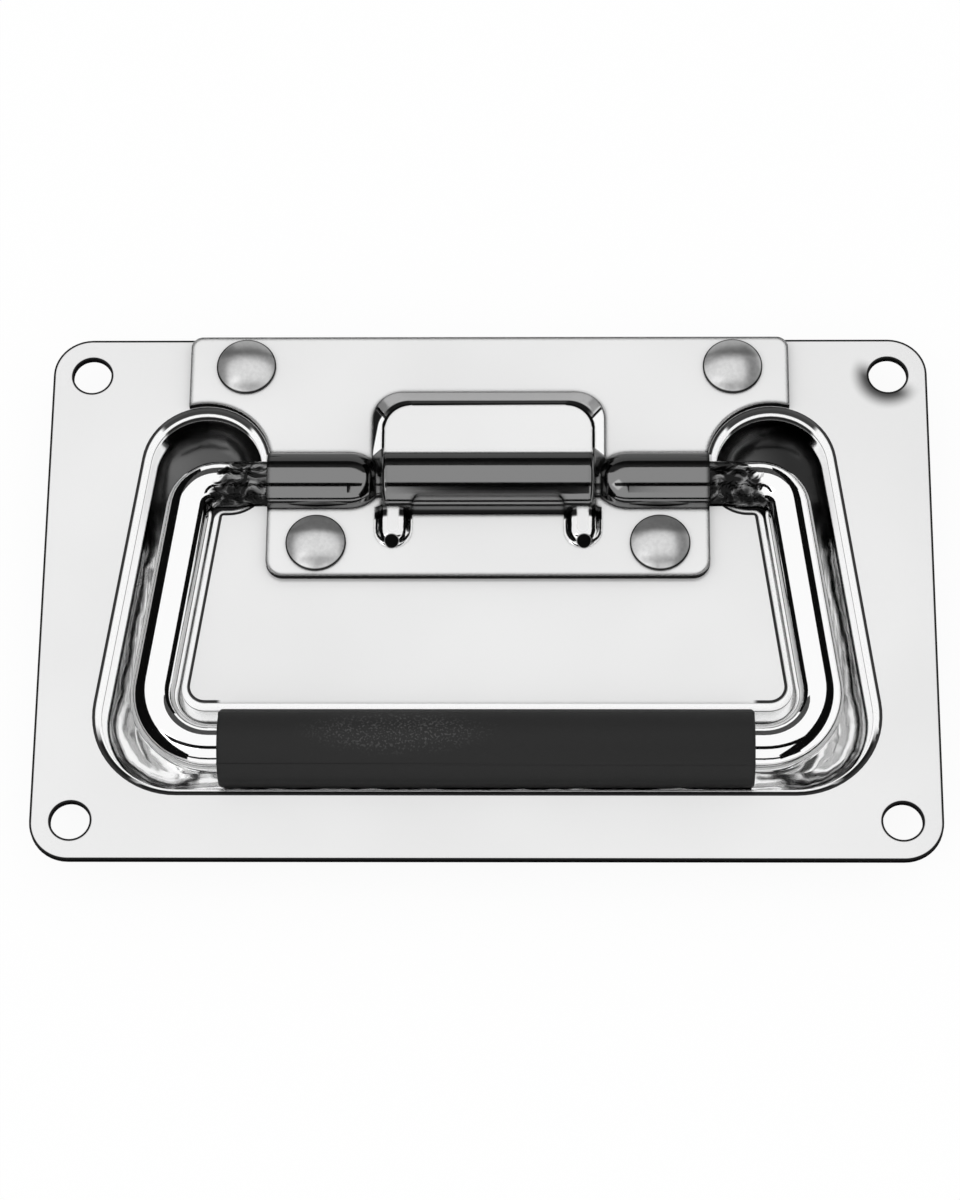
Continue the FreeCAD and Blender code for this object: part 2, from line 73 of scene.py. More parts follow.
# Table: a plain white top under the groove's floor. It looks white to the camera and in
# polished steel, and keeps a soft shadow of the plate.
table_top = -0.00716
table_size = 6
table_white = 0.9
glow_share = 0.93


def new_node(tree, kind, **settings):
    node = tree.nodes.new(kind)
    for key, value in settings.items():
        setattr(node, key, value)
    return node


def reckon(tree, operation, first, second=None):
    """One Math node; numbers are set on it and sockets are linked to it."""
    node = new_node(tree, "ShaderNodeMath", operation=operation)
    for socket, value in zip(node.inputs, (first, second)):
        if value is None:
            continue
        if isinstance(value, (int, float)):
            socket.default_value = value
        else:
            tree.links.new(value, socket)
    return node.outputs[0]


bpy.ops.object.select_all(action="DESELECT")
bpy.ops.mesh.primitive_plane_add(size=table_size, location=(0, 0, table_top))
table = bpy.context.object
table.name = "table"
bpy.ops.object.transform_apply(location=True)
table_paint = bpy.data.materials.new("table_paint")
table_paint.use_nodes = True
tree = table_paint.node_tree
tree.nodes.clear()
ray = tree.nodes.new("ShaderNodeLightPath")
camera_or_gloss = reckon(
    tree, "MAXIMUM", ray.outputs["Is Camera Ray"], ray.outputs["Is Glossy Ray"]
)
any_view = reckon(tree, "MAXIMUM", camera_or_gloss, ray.outputs["Is Transmission Ray"])
matt = tree.nodes.new("ShaderNodeBsdfDiffuse")
matt.inputs["Color"].default_value = (table_white, table_white, table_white, 1)
glow = tree.nodes.new("ShaderNodeEmission")
glow.inputs["Color"].default_value = (1, 1, 1, 1)
glow.inputs["Strength"].default_value = 1.0
table_mix = tree.nodes.new("ShaderNodeMixShader")
tree.links.new(reckon(tree, "MULTIPLY", any_view, glow_share), table_mix.inputs[0])
tree.links.new(matt.outputs[0], table_mix.inputs[1])
tree.links.new(glow.outputs[0], table_mix.inputs[2])
table_out = tree.nodes.new("ShaderNodeOutputMaterial")
tree.links.new(table_mix.outputs[0], table_out.inputs["Surface"])
table.data.materials.append(table_paint)


# Studio: a white room and a soft box for the shadow. Black cards stand at both sides and in
# front and hang under the camera, and a grey one stands behind: they give polished steel its
# dark lines, and are seen nowhere else.
room_strength = 1.0
soft_box_place = Vector((-0.7, -0.5, 1.1))
soft_box_size = 0.7
soft_box_watts = 1.5

room = bpy.data.worlds.new("white_room")
bpy.context.scene.world = room
room.use_nodes = True
room.node_tree.nodes["Background"].inputs["Color"].default_value = (1, 1, 1, 1)
room.node_tree.nodes["Background"].inputs["Strength"].default_value = room_strength

soft_box = bpy.data.lights.new("soft_box", "AREA")
soft_box.size = soft_box_size
soft_box.energy = soft_box_watts
lamp = bpy.data.objects.new("soft_box", soft_box)
lamp.location = soft_box_place
lamp.rotation_euler = (-soft_box_place).to_track_quat("-Z", "Y").to_euler()
bpy.context.collection.objects.link(lamp)

card_cloths = {}
for name, shade in (("black", 0.004), ("grey", 0.07)):
    paper = bpy.data.materials.new(name + "_card")
    paper.use_nodes = True
    cloth = paper.node_tree.nodes["Principled BSDF"]
    cloth.inputs["Base Color"].default_value = (shade, shade, shade, 1)
    cloth.inputs["Roughness"].default_value = 1.0
    cloth.inputs["Specular IOR Level"].default_value = 0.0
    card_cloths[name] = paper


def upright_card(x1, y1, x2, y2, low, high):
    return [(x1, y1, low), (x2, y2, low), (x2, y2, high), (x1, y1, high)]


def hung_card(left, right, near, far, height):
    ends = [(left, near), (right, near), (right, far), (left, far)]
    return [(x, y, height) for x, y in ends]


for name, cloth, corners in (
    ("card_left", "black", upright_card(-0.13, -0.2, -0.13, 0.25, -0.006, 0.090)),
    ("card_right", "black", upright_card(0.105, -0.2, 0.105, 0.25, 0.028, 0.108)),
    ("card_back", "grey", upright_card(-0.3, 0.25, 0.3, 0.25, 0.085, 0.28)),
    ("card_front", "black", upright_card(-0.2, -0.2, 0.2, -0.2, 0.042, 0.072)),
    ("card_under_camera", "black", hung_card(-0.3, 0.3, -0.19, -0.09, 0.35)),
    ("card_camera_body", "black", hung_card(-0.03, 0.03, -0.45, -0.19, 0.35)),
):
    sheet = bpy.data.meshes.new(name)
    sheet.from_pydata(corners, [], [(0, 1, 2, 3)])
    sheet.update()
    card = bpy.data.objects.new(name, sheet)
    card.data.materials.append(card_cloths[cloth])
    card.visible_camera = False
    card.visible_diffuse = False
    card.visible_shadow = False
    bpy.context.collection.objects.link(card)


# Base plate: 1.2 mm stainless sheet, pressed to a U-shaped groove. Its flats are satin, and
# the groove is polished, with painted dark reflections on its cut edges, and painted shade and
# a dull finish in its deep ends.
plate_half_length = 0.075
plate_half_width = 0.0475
plate_corner = 0.0066
screw_place = (0.0683, 0.0407, 0)
screw_radius = 0.00325
edge_line_width = 0.00042
rim_line_core = 0.00028
hole_line_core = 0.00026
plate_marks = (2600, 60, 2600)
marks_detail = 3.0
cloud_size = 26.0
cloud_detail = 2.0
cloud_span = (0.3, 0.7)
wave_size = 170
wave_detail = 1.5
wave_depth = 0.0006
wave_share = 0.7
plate_satin = (0.80, 0.835)
painted_lip_white = 0.97
lip_reflection_black = 0.012
painted_shade_black = 0.008
wall_shade_black = 0.02
pocket_shade_greys = (0.03, 0.16)
groove_greys = (0.5, 1.0)
far_lip_reflection_greys = (0.05, 0.95)
smear_grey = 0.05
smear_side = (-0.5, -0.86, 0)
polished_metal = 1.0
satin_metal = 0.35
plate_gloss = (0.13, 0.26)
dark_dullness = 0.6
pocket_dullness = 0.12
lip_buffing = 0.8
least_lean = 0.0001

# Where the plate's zones begin. A pair says where a zone is still off, then where it is fully
# on: as a place in metres, or as a slope, which is 1 where the surface faces up or the grip.
far_end_x = (0.034, 0.037)
far_end_y = (0.009, 0.019)
outer_wall_side = (-0.004, -0.010)
outer_wall_turn = (0.72, 0.45)
satin_on_walls = (-0.0036, -0.0030)
satin_in_far_ends = (-0.0012, -0.0006)
satin_on_front = (-0.0056, -0.0050)
front_wall_y = (-0.0336, -0.0341)
lip_slopes = ((0.93, 0.955), (0.9997, 0.997))
front_lip_slopes = ((0.82, 0.87), (0.9997, 0.996))
front_lip_y = (-0.0335, -0.0345)
corner_lip_slopes = ((0.66, 0.74), (0.9997, 0.996))
corner_lip_turns = ((-0.97, -0.8), (-0.12, -0.4))
corner_lip_y = (-0.0205, -0.0235)
by_grip_x = (0.0450, 0.0440)
by_grip_y = ((-0.0330, -0.0300), (-0.0150, -0.0165))
lip_height = (-0.0014, -0.0008)
lip_highlight_slope = (0.96, 0.88)
pocket_height = (-0.0003, -0.0018)
streak_span = (0.35, 0.62)
plain_bar_y = (-0.013, -0.019)
pocket_shade_span = (0.44, 0.70)
wall_shade_line_heights = ((-0.0040, -0.0037), (-0.0032, -0.0034))
far_turn_turn = (0.62, 0.72)
far_turn_slope = (0.998, 0.99)
highlight_line_slopes = ((0.36, 0.44), (0.74, 0.66))
side_slope = (0.3, 0.15)
side_height = (-0.0003, 0.0)
dark_height = (-0.0012, -0.0004)
smear_reach = (0.0068, 0.0036)
smear_lean = (-0.0012, 0.0024)
smear_height = (0.0006, 0.0011)
wave_height = (-0.0028, -0.0044)


def ramp_between(tree, value, start, end):
    """0 at start and 1 at end, eased and kept between them."""
    node = new_node(tree, "ShaderNodeMapRange", interpolation_type="SMOOTHSTEP")
    node.inputs["From Min"].default_value = start
    node.inputs["From Max"].default_value = end
    tree.links.new(value, node.inputs["Value"])
    return node.outputs[0]


def overlap(tree, *masks):
    """Where all the masks are on."""
    shared = masks[0]
    for mask in masks[1:]:
        shared = reckon(tree, "MULTIPLY", shared, mask)
    return shared


def all_but(tree, mask):
    """Where the mask is off."""
    return reckon(tree, "SUBTRACT", 1.0, mask)


def band(tree, value, low_side, high_side):
    """On inside a band. Each side says where it is still off, then where it is fully on."""
    return overlap(
        tree, ramp_between(tree, value, *low_side), ramp_between(tree, value, *high_side)
    )


def shade_mix(tree, share, first, second):
    """A colour between two greys or colour sockets."""
    node = new_node(tree, "ShaderNodeMix", data_type="RGBA")
    tree.links.new(share, node.inputs["Factor"])
    for name, value in (("A", first), ("B", second)):
        socket = [item for item in node.inputs if item.name == name and item.type == "RGBA"][0]
        if isinstance(value, (int, float)):
            socket.default_value = (value, value, value, 1)
        else:
            tree.links.new(value, socket)
    return [item for item in node.outputs if item.type == "RGBA"][0]


def slide(tree, share, start, end):
    """A number that goes evenly from start to end with the share."""
    node = new_node(tree, "ShaderNodeMapRange")
    node.inputs["To Min"].default_value = start
    node.inputs["To Max"].default_value = end
    tree.links.new(share, node.inputs["Value"])
    return node.outputs[0]


def arrow(tree, operation, first, second=None):
    """One Vector Math node, with its inputs set or linked as reckon does."""
    node = new_node(tree, "ShaderNodeVectorMath", operation=operation)
    for socket, value in zip(node.inputs, (first, second)):
        if value is None:
            continue
        if isinstance(value, tuple):
            socket.default_value = value
        else:
            tree.links.new(value, socket)
    gives_number = operation in ("LENGTH", "DISTANCE", "DOT_PRODUCT")
    return node.outputs["Value" if gives_number else "Vector"]


def buffed(tree, normal, share):
    """The normal leaned upwards by the share, as on a lip rounded by the buffing wheel."""
    leaned = new_node(tree, "ShaderNodeMix", data_type="VECTOR")
    leaned.inputs[5].default_value = (0, 0, 1)
    tree.links.new(normal, leaned.inputs[4])
    tree.links.new(share, leaned.inputs["Factor"])
    return arrow(tree, "NORMALIZE", leaned.outputs[1])


def start_material(name, metal):
    """A new material with its tree, its main shader and the piece's own coordinates."""
    made = bpy.data.materials.new(name)
    made.use_nodes = True
    face = made.node_tree.nodes["Principled BSDF"]
    face.inputs["Metallic"].default_value = metal
    place = made.node_tree.nodes.new("ShaderNodeTexCoord")
    return made, made.node_tree, face, place


def split(tree, place):
    """The X, Y and Z of a place or a direction."""
    node = tree.nodes.new("ShaderNodeSeparateXYZ")
    tree.links.new(place, node.inputs[0])
    return node.outputs


# Polishing marks: fine streaks along one axis, and a slow cloudiness.
marks_group = bpy.data.node_groups.new("polishing_marks", "ShaderNodeTree")
marks_group.interface.new_socket("Along", in_out="INPUT", socket_type="NodeSocketVector")
marks_group.interface.new_socket("Streaks", in_out="OUTPUT", socket_type="NodeSocketFloat")
marks_group.interface.new_socket("Cloud", in_out="OUTPUT", socket_type="NodeSocketFloat")
marks_in = marks_group.nodes.new("NodeGroupInput")
marks_out = marks_group.nodes.new("NodeGroupOutput")
marks_place = marks_group.nodes.new("ShaderNodeTexCoord")
fine = marks_group.nodes.new("ShaderNodeTexNoise")
fine.inputs["Scale"].default_value = 1.0
fine.inputs["Detail"].default_value = marks_detail
stretched = arrow(
    marks_group, "MULTIPLY", marks_place.outputs["Object"], marks_in.outputs["Along"]
)
marks_group.links.new(stretched, fine.inputs["Vector"])
marks_group.links.new(fine.outputs["Fac"], marks_out.inputs["Streaks"])
slow = marks_group.nodes.new("ShaderNodeTexNoise")
slow.inputs["Scale"].default_value = cloud_size
slow.inputs["Detail"].default_value = cloud_detail
marks_group.links.new(marks_place.outputs["Object"], slow.inputs["Vector"])
marks_group.links.new(slow.outputs["Fac"], marks_out.inputs["Cloud"])


def add_marks(tree, along):
    """Polishing marks, finer along an axis with a larger number in along."""
    marks = tree.nodes.new("ShaderNodeGroup")
    marks.node_tree = marks_group
    marks.inputs["Along"].default_value = along
    return marks.outputs


plate_steel, tree, face, place = start_material("plate_steel", polished_metal)
at = split(tree, place.outputs["Object"])
facing = split(tree, place.outputs["Normal"])
marks = add_marks(tree, plate_marks)
up = facing["Z"]
height = at["Z"]
outside = reckon(tree, "ABSOLUTE", at["X"])
level_share = reckon(tree, "SUBTRACT", 1.0, reckon(tree, "MULTIPLY", up, up))
level_length = reckon(tree, "SQRT", reckon(tree, "MAXIMUM", level_share, least_lean))
toward_grip = reckon(tree, "DIVIDE", reckon(tree, "MULTIPLY", facing["Y"], -1.0), level_length)
toward_middle = reckon(tree, "MULTIPLY", at["X"], facing["X"])

# The satin goes down the groove's walls, but ends just over the lip in the far end pockets
far_end = overlap(
    tree, ramp_between(tree, outside, *far_end_x), ramp_between(tree, at["Y"], *far_end_y)
)
outer_wall = overlap(
    tree,
    ramp_between(tree, toward_middle, *outer_wall_side),
    ramp_between(tree, toward_grip, *outer_wall_turn),
)
satin_depth = new_node(tree, "ShaderNodeMix", data_type="FLOAT")
tree.links.new(overlap(tree, far_end, all_but(tree, outer_wall)), satin_depth.inputs["Factor"])
tree.links.new(ramp_between(tree, height, *satin_on_walls), satin_depth.inputs[2])
tree.links.new(ramp_between(tree, height, *satin_in_far_ends), satin_depth.inputs[3])
front_wall = overlap(
    tree,
    ramp_between(tree, at["Y"], *front_wall_y),
    ramp_between(tree, height, *satin_on_front),
)
flat = reckon(tree, "MAXIMUM", satin_depth.outputs[0], front_wall)

# A thin painted dark reflection where the flat turns over into the groove, but none beside the
# grip
lip_line = band(tree, up, *lip_slopes)
front_lip = overlap(
    tree,
    band(tree, up, *front_lip_slopes),
    ramp_between(tree, at["Y"], *front_lip_y),
)
corner_lip = overlap(
    tree,
    band(tree, up, *corner_lip_slopes),
    band(tree, toward_grip, *corner_lip_turns),
    ramp_between(tree, at["Y"], *corner_lip_y),
)
by_grip = overlap(
    tree,
    band(tree, at["Y"], *by_grip_y),
    ramp_between(tree, outside, *by_grip_x),
)
lip_line = overlap(tree, reckon(tree, "MAXIMUM", lip_line, front_lip), all_but(tree, by_grip))
lip_line = reckon(tree, "MAXIMUM", lip_line, corner_lip)
lip_line = overlap(tree, lip_line, ramp_between(tree, height, *lip_height))

# The polished groove: streaked, with a painted line of shade along its walls, and painted
# shade in its far ends
pocket = overlap(tree, far_end, ramp_between(tree, height, *pocket_height))
streak = ramp_between(tree, marks["Streaks"], *streak_span)
streak = reckon(tree, "MAXIMUM", streak, ramp_between(tree, at["Y"], *plain_bar_y))
formed = shade_mix(tree, streak, *groove_greys)
# Painted shade: a dark line along the groove's walls
wall_shade_line = band(tree, height, *wall_shade_line_heights)
formed = shade_mix(tree, wall_shade_line, formed, wall_shade_black)
painted_pocket_shade = shade_mix(tree, ramp_between(tree, marks["Cloud"], *pocket_shade_span), *pocket_shade_greys)
formed = shade_mix(tree, pocket, formed, painted_pocket_shade)
satin = shade_mix(tree, ramp_between(tree, marks["Cloud"], *cloud_span), *plate_satin)
colour = shade_mix(tree, flat, formed, satin)
# The white lip is a painted highlight
lip_highlight = overlap(tree, flat, ramp_between(tree, up, *lip_highlight_slope))
colour = shade_mix(tree, lip_highlight, colour, painted_lip_white)
colour = shade_mix(tree, lip_line, colour, lip_reflection_black)

# The far bends of the lip carry a painted dark reflection, with one painted highlight line
far_turn = overlap(
    tree,
    far_end,
    ramp_between(tree, toward_grip, *far_turn_turn),
    ramp_between(tree, up, *far_turn_slope),
    flat,
)
highlight_line = band(tree, up, *highlight_line_slopes)
colour = shade_mix(tree, far_turn, colour, shade_mix(tree, highlight_line, *far_lip_reflection_greys))

# Painted dark reflection lines round the plate's cut edges and its four screw holes
plan_at = arrow(tree, "MULTIPLY", place.outputs["Object"], (1, 1, 0))
one_corner = arrow(tree, "ABSOLUTE", plan_at)
round_middle = (plate_half_length - plate_corner, plate_half_width - plate_corner, 0)
corner_past = arrow(tree, "SUBTRACT", one_corner, round_middle)
past = split(tree, corner_past)
round_reach = arrow(tree, "LENGTH", arrow(tree, "MAXIMUM", corner_past, (0, 0, 0)))
straight_reach = reckon(tree, "MINIMUM", reckon(tree, "MAXIMUM", past["X"], past["Y"]), 0.0)
rim_reach = reckon(tree, "ADD", round_reach, straight_reach)
rim_shade = ramp_between(tree, rim_reach, plate_corner - edge_line_width, plate_corner - rim_line_core)
hole_reach = arrow(tree, "DISTANCE", one_corner, screw_place)
hole_shade = ramp_between(
    tree, hole_reach, screw_radius + edge_line_width, screw_radius + hole_line_core
)
side_face = overlap(
    tree, ramp_between(tree, up, *side_slope), ramp_between(tree, height, *side_height)
)
dark = reckon(tree, "MAXIMUM", reckon(tree, "MAXIMUM", rim_shade, hole_shade), side_face)
dark = overlap(tree, dark, ramp_between(tree, height, *dark_height))

# A dull smear left on one side of the screw hole at the top right
from_screw = arrow(tree, "SUBTRACT", plan_at, screw_place)
smear = overlap(
    tree,
    ramp_between(tree, arrow(tree, "LENGTH", from_screw), *smear_reach),
    ramp_between(tree, arrow(tree, "DOT_PRODUCT", from_screw, smear_side), *smear_lean),
    ramp_between(tree, height, *smear_height),
)
colour = shade_mix(tree, smear, colour, smear_grey)
colour = shade_mix(tree, dark, colour, painted_shade_black)
tree.links.new(colour, face.inputs["Base Color"])

# The press leaves the groove slightly wavy, and the satin flats scatter the light
waves = tree.nodes.new("ShaderNodeTexNoise")
waves.inputs["Scale"].default_value = wave_size
waves.inputs["Detail"].default_value = wave_detail
tree.links.new(place.outputs["Object"], waves.inputs["Vector"])
pressed_wave = tree.nodes.new("ShaderNodeBump")
pressed_wave.inputs["Distance"].default_value = wave_depth
tree.links.new(waves.outputs["Fac"], pressed_wave.inputs["Height"])
wavy = reckon(tree, "MULTIPLY", ramp_between(tree, height, *wave_height), wave_share)
tree.links.new(wavy, pressed_wave.inputs["Strength"])
lip_share = reckon(tree, "MULTIPLY", lip_highlight, lip_buffing)
tree.links.new(buffed(tree, pressed_wave.outputs[0], lip_share), face.inputs["Normal"])
dulled = reckon(
    tree,
    "ADD",
    reckon(tree, "MULTIPLY", dark, dark_dullness),
    reckon(tree, "MULTIPLY", pocket, pocket_dullness),
)
gloss = reckon(tree, "ADD", slide(tree, flat, *plate_gloss), dulled)
tree.links.new(gloss, face.inputs["Roughness"])
brushed = slide(
    tree, reckon(tree, "SUBTRACT", flat, lip_highlight), polished_metal, satin_metal
)
tree.links.new(brushed, face.inputs["Metallic"])
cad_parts["base_plate"].data.materials[0] = plate_steel


# Hinge cover: stainless sheet pressed over the rod's stubs and stop arms, and riveted on.
# Its flange is satin like the plate; barrels and hood are polished, and their dark is painted
# reflection and shade.
cover_marks = (60, 2600, 2600)
cover_edge = 0.0012
cover_edge_samples = 6
cover_satin = (0.80, 0.84)
barrel_reflection_grey = 0.23
hood_reflection_grey = 0.47
front_reflection_grey = 0.85
rear_shade_grey = 0.055
foot_shade_grey = 0.012
hood_end_highlight = 0.93
wedge_shade_grey = 0.012
wedge_slope = 0.36
wedge_start = (0.0248, 0.0024)
dimple_place = (0.0162, 0.0087, 0.0031)
cover_gloss = (0.09, 0.26)
end_buffing = 0.85

# Its zones, written as the plate's are
cover_flat_slope = (0.97, 0.995)
crest_y = ((0.0150, 0.0160), (0.0242, 0.0239))
crest_height = (0.0027, 0.0030)
in_front_y = (0.0132, 0.0128)
behind_y = (0.0244, 0.0250)
rear_facing = (0.16, 0.30)
foot_y = ((0.0130, 0.0134), (0.0145, 0.0142))
hood_end_slope = (0.75, 0.68)
hood_end_height = (0.0025, 0.0027)
bright_end_y = (0.0352, 0.0342)
wedge_below = (0.0002, -0.0002)
left_facing = (-0.2, -0.4)
edge_agreement = (0.985, 0.955)
cover_side_height = (0.00246, 0.00242)
roof_round_slopes = ((0.70, 0.78), (0.99, 0.975))
roof_round_height = (0.0046, 0.0049)
dimple_size = (0.0014, 0.0011)

cover_steel, tree, face, place = start_material("cover_steel", polished_metal)
at = split(tree, place.outputs["Object"])
facing = split(tree, place.outputs["Normal"])
marks = add_marks(tree, cover_marks)
up = facing["Z"]
crest = overlap(
    tree,
    band(tree, at["Y"], *crest_y),
    ramp_between(tree, at["Z"], *crest_height),
)
flat = overlap(tree, ramp_between(tree, up, *cover_flat_slope), all_but(tree, crest))
in_front = ramp_between(tree, at["Y"], *in_front_y)
behind = ramp_between(tree, at["Y"], *behind_y)
# Painted reflection and shade: barrels dark, hood lighter, front light, rear-facing sides and
# foot near black
formed = shade_mix(tree, behind, barrel_reflection_grey, hood_reflection_grey)
formed = shade_mix(tree, in_front, formed, front_reflection_grey)
rear = overlap(tree, ramp_between(tree, facing["Y"], *rear_facing), all_but(tree, behind))
formed = shade_mix(tree, rear, formed, rear_shade_grey)
foot = band(tree, at["Y"], *foot_y)
formed = shade_mix(tree, foot, formed, foot_shade_grey)
satin = shade_mix(tree, ramp_between(tree, marks["Cloud"], *cloud_span), *cover_satin)
colour = shade_mix(tree, flat, formed, satin)

# The hood's ends get a painted highlight, and the left one a painted black wedge of shade at
# the top
hood_end = overlap(
    tree,
    behind,
    ramp_between(tree, up, *hood_end_slope),
    ramp_between(tree, at["Z"], *hood_end_height),
)
end_highlight_zone = overlap(tree, hood_end, ramp_between(tree, at["Y"], *bright_end_y))
wedge_top = reckon(
    tree,
    "ADD",
    reckon(tree, "MULTIPLY", at["Y"], wedge_slope),
    wedge_start[1] - wedge_slope * wedge_start[0],
)
wedge = overlap(
    tree,
    hood_end,
    ramp_between(tree, reckon(tree, "SUBTRACT", at["Z"], wedge_top), *wedge_below),
    ramp_between(tree, facing["X"], *left_facing),
)
colour = shade_mix(tree, end_highlight_zone, colour, hood_end_highlight)
colour = shade_mix(tree, wedge, colour, wedge_shade_grey)

# Painted dark lines of reflection and shade: sharp edges, the sheet's cut side, the hood's
# round edge, and a painted dark spot at a small dimple in each of the two pockets over the
# springs' legs
rounded = new_node(tree, "ShaderNodeBevel", samples=cover_edge_samples)
rounded.inputs["Radius"].default_value = cover_edge
surface = tree.nodes.new("ShaderNodeNewGeometry")
agreement = arrow(tree, "DOT_PRODUCT", rounded.outputs["Normal"], surface.outputs["Normal"])
edge = ramp_between(tree, agreement, *edge_agreement)
side_face = overlap(
    tree, ramp_between(tree, up, *side_slope), ramp_between(tree, at["Z"], *cover_side_height)
)
roof_round = overlap(
    tree,
    band(tree, up, *roof_round_slopes),
    behind,
    ramp_between(tree, at["Z"], *roof_round_height),
)
dimple_reach = arrow(
    tree, "DISTANCE", arrow(tree, "ABSOLUTE", place.outputs["Object"]), dimple_place
)
dimple = ramp_between(tree, dimple_reach, *dimple_size)
dark = edge
for mask in (side_face, roof_round, dimple):
    dark = reckon(tree, "MAXIMUM", dark, mask)
colour = shade_mix(tree, dark, colour, painted_shade_black)
tree.links.new(colour, face.inputs["Base Color"])
end_share = reckon(tree, "MULTIPLY", end_highlight_zone, end_buffing)
tree.links.new(buffed(tree, surface.outputs["Normal"], end_share), face.inputs["Normal"])
dulled = reckon(tree, "MULTIPLY", dark, dark_dullness)
gloss = reckon(tree, "ADD", slide(tree, flat, *cover_gloss), dulled)
tree.links.new(gloss, face.inputs["Roughness"])
tree.links.new(slide(tree, flat, polished_metal, satin_metal), face.inputs["Metallic"])
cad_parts["hinge_cover"].data.materials[0] = cover_steel


# Handle: 8 mm stainless rod, bent cold and polished all over. The cold bending has left the
# stubs beside the barrels crinkled, and they are darkened with painted shade.
axle_y = 0.0202
crease_size = 330
crease_detail = 2.5
crease_twist = 1.6
crease_depth = 0.0004
crease_share = 0.8
crease_middle = 0.5
ragged_reach = 0.006
stub_lean = 0.5
rod_bright = 0.96
painted_crease_greys = (0.015, 0.26)
rod_gloss = (0.05, 0.14)
stub_end_x = (0.0460, 0.0447)
stub_y = ((0.0150, 0.0158), (0.0236, 0.0230))
crease_span = (0.47, 0.72)

rod_steel, tree, face, place = start_material("rod_steel", polished_metal)
at = split(tree, place.outputs["Object"])
creases = tree.nodes.new("ShaderNodeTexNoise")
creases.inputs["Scale"].default_value = crease_size
creases.inputs["Detail"].default_value = crease_detail
creases.inputs["Distortion"].default_value = crease_twist
tree.links.new(place.outputs["Object"], creases.inputs["Vector"])
uneven = reckon(tree, "SUBTRACT", creases.outputs["Fac"], crease_middle)
ragged = reckon(tree, "MULTIPLY", uneven, ragged_reach)
lean = reckon(tree, "MULTIPLY", reckon(tree, "SUBTRACT", at["Y"], axle_y), stub_lean)
stub_end = reckon(tree, "ADD", reckon(tree, "ABSOLUTE", at["X"]), ragged)
stub_end = reckon(tree, "ADD", stub_end, lean)
crinkled = overlap(
    tree,
    ramp_between(tree, stub_end, *stub_end_x),
    band(tree, at["Y"], *stub_y),
)
# Painted shade on the crinkled stubs, patchy with the creases
crease_shade = shade_mix(
    tree, ramp_between(tree, creases.outputs["Fac"], *crease_span), *painted_crease_greys
)
colour = shade_mix(tree, crinkled, rod_bright, crease_shade)
tree.links.new(colour, face.inputs["Base Color"])
tree.links.new(slide(tree, crinkled, *rod_gloss), face.inputs["Roughness"])
folds = tree.nodes.new("ShaderNodeBump")
folds.inputs["Distance"].default_value = crease_depth
tree.links.new(reckon(tree, "MULTIPLY", crinkled, crease_share), folds.inputs["Strength"])
tree.links.new(creases.outputs["Fac"], folds.inputs["Height"])
tree.links.new(folds.outputs[0], face.inputs["Normal"])
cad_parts["bail"].data.materials[0] = rod_steel


# Springs: two coils of drawn steel wire, hidden in the middle barrel, that pull the handle
# back into its groove.
wire_colour = (0.4, 0.4, 0.41, 1)
wire_gloss = 0.3
wire_steel = bpy.data.materials.new("wire_steel")
wire_steel.use_nodes = True
wire_face = wire_steel.node_tree.nodes["Principled BSDF"]
wire_face.inputs["Base Color"].default_value = wire_colour
wire_face.inputs["Metallic"].default_value = polished_metal
wire_face.inputs["Roughness"].default_value = wire_gloss
for node in ("torsion_spring_right", "torsion_spring_left"):
    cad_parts[node].data.materials[0] = wire_steel


# Rivets: four stainless rivets through cover and plate, each turned in one piece with a low
# domed head, a shank, and a tail that is pressed flush into the back of the plate.
rivet_head = 0.0051
rivet_shank = 0.00195
rivet_tail = 0.0035
rivet_tail_depth = 0.0009
flange_top = 0.0024
rivet_rim = 0.00042
rivet_crown = 0.0020
rivet_sides = 72
rivet_smooth = math.radians(35)
dome_rings = 12
rivet_places = [(-0.0417, 0.0417), (0.0417, 0.0417), (-0.029, 0.0086), (0.029, 0.0086)]
rivet_metal = 0.75
rivet_marks = (1500, 1500, 1500)
rivet_shade_greys = (0.95, 0.5)
speck_greys = (0.68, 0.76)
ring_shade_black = 0.01
rivet_gloss = (0.26, 0.34)
far_side_shade_facing = (0.10, 0.24)
speck_span = (0.3, 0.7)
ring_reach = (0.00478, 0.00496)

rivet_steel, tree, face, place = start_material("rivet_steel", rivet_metal)
facing = split(tree, place.outputs["Normal"])
marks = add_marks(tree, rivet_marks)
# Painted shade: each head is darker on its side that faces away from the grip
far_side_shade = shade_mix(tree, ramp_between(tree, facing["Y"], *far_side_shade_facing), *rivet_shade_greys)
speck = shade_mix(tree, ramp_between(tree, marks["Streaks"], *speck_span), *speck_greys)
colour = new_node(tree, "ShaderNodeMix", data_type="RGBA", blend_type="MULTIPLY")
colour.inputs["Factor"].default_value = 1.0
tree.links.new(far_side_shade, colour.inputs[6])
tree.links.new(speck, colour.inputs[7])
plan_at = arrow(tree, "MULTIPLY", place.outputs["Object"], (1, 1, 0))
one_side = arrow(tree, "ABSOLUTE", plan_at)

# A painted dark ring of shade round each head; the two rivets on the left mirror the two on
# the right
reaches = [arrow(tree, "DISTANCE", one_side, (x, y, 0)) for x, y in rivet_places[1::2]]
ring = ramp_between(tree, reckon(tree, "MINIMUM", *reaches), *ring_reach)
tree.links.new(shade_mix(tree, ring, colour.outputs[2], ring_shade_black), face.inputs["Base Color"])
tree.links.new(slide(tree, marks["Streaks"], *rivet_gloss), face.inputs["Roughness"])

